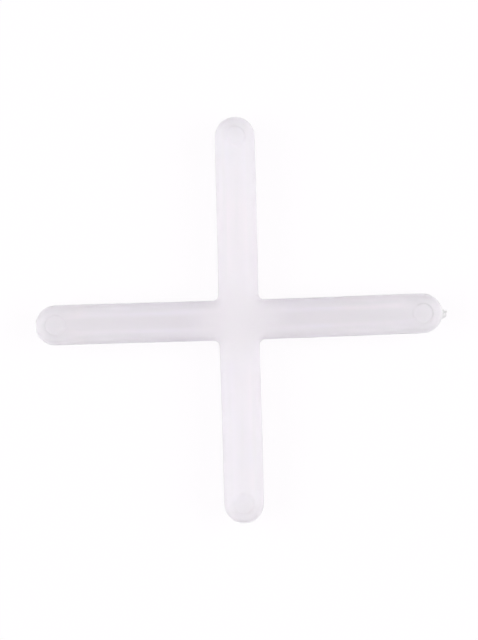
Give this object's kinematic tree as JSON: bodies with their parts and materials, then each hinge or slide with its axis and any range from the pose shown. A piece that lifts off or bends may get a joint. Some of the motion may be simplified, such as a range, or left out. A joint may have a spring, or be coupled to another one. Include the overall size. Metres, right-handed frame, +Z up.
{
  "type": "tile spacer",
  "caption": "Cross-shaped plastic spacer whose straight, round-tipped arms stand between tile corners and keep the joints one arm width wide.",
  "frame": {"origin": "middle of the cross on its underside, the face that it lies on", "axes": "+Z up through the cross, +X along the arm that ends in the gate mark, +Y along the arm that crosses it"},
  "size_m": [0.0208, 0.0204, 0.0025],
  "materials": {
    "milky_plastic": "smooth translucent milky white polyethylene, softly satin"
  },
  "bodies": {
    "root": {"spacer": "milky_plastic"}
  },
  "joints": []
}
